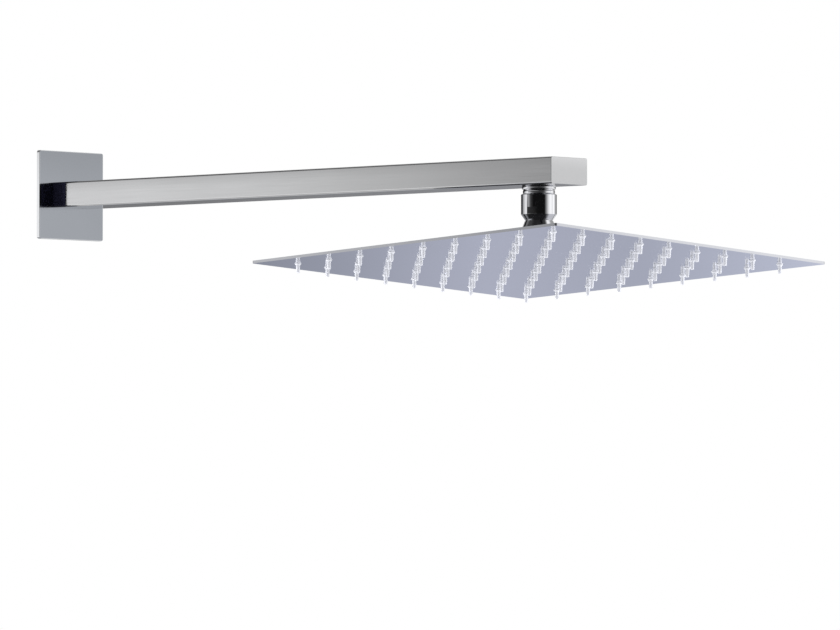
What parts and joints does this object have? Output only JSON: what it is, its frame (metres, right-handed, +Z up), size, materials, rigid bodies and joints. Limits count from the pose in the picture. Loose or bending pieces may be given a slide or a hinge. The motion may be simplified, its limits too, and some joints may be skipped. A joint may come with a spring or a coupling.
{
  "type": "rain shower head",
  "caption": "Square ultra-thin rain shower head with soft nozzles, held tilted by a ball joint under a straight rectangular wall arm with a square cover plate",
  "frame": {"origin": "centre of the threaded wall inlet, on the wall plane at the back of the cover plate", "axes": "+X out of the wall along the arm, +Z up, +Y to the right when facing the wall"},
  "size_m": [0.6685, 0.3001, 0.1255],
  "materials": {
    "plate_steel": "polished stainless steel with a faint grain",
    "arm_steel": "satin polished stainless steel",
    "head_steel": "polished stainless steel with a faint grain",
    "chrome": "bright chrome plate",
    "gloss_black": "gloss black",
    "brass": "plain machined brass",
    "black_rubber": "matt",
    "white_plastic": "slippery seat plastic",
    "clear_silicone": "cloudy clear silicone"
  },
  "bodies": {
    "arm": {"wall_plate": "plate_steel", "plate_grip_ring": "black_rubber", "inlet_nipple": "brass", "wall_collar": "gloss_black", "arm_tube": "arm_steel", "arm_end_cap": "arm_steel", "outlet_nipple": "brass", "union_washer": "black_rubber", "swivel_body": "chrome", "swivel_nut": "chrome", "seat_cushion": "black_rubber"},
    "ball_seat": {"seat_ring": "white_plastic"},
    "head": {"ball_stud": "chrome", "hub_washer": "black_rubber", "head_hub": "chrome", "head_top_sheet": "head_steel", "head_face_sheet": "head_steel", "nozzle_row_1": "clear_silicone", "nozzle_row_2": "clear_silicone", "nozzle_row_3": "clear_silicone", "nozzle_row_4": "clear_silicone", "nozzle_row_5": "clear_silicone", "nozzle_row_6": "clear_silicone", "nozzle_row_7": "clear_silicone", "nozzle_row_8": "clear_silicone", "nozzle_row_9": "clear_silicone"}
  },
  "joints": [
    {"name": "head_spin", "type": "hinge", "parent": "arm", "child": "ball_seat", "pos_m": [0.5, 0, -0.027], "axis": [0, 0, 1], "continuous": true},
    {"name": "head_tilt", "type": "hinge", "parent": "ball_seat", "child": "head", "pos_m": [0.5, 0, -0.027], "axis": [-0.7071, -0.7071, 0], "range_deg": [-17, 7]}
  ]
}
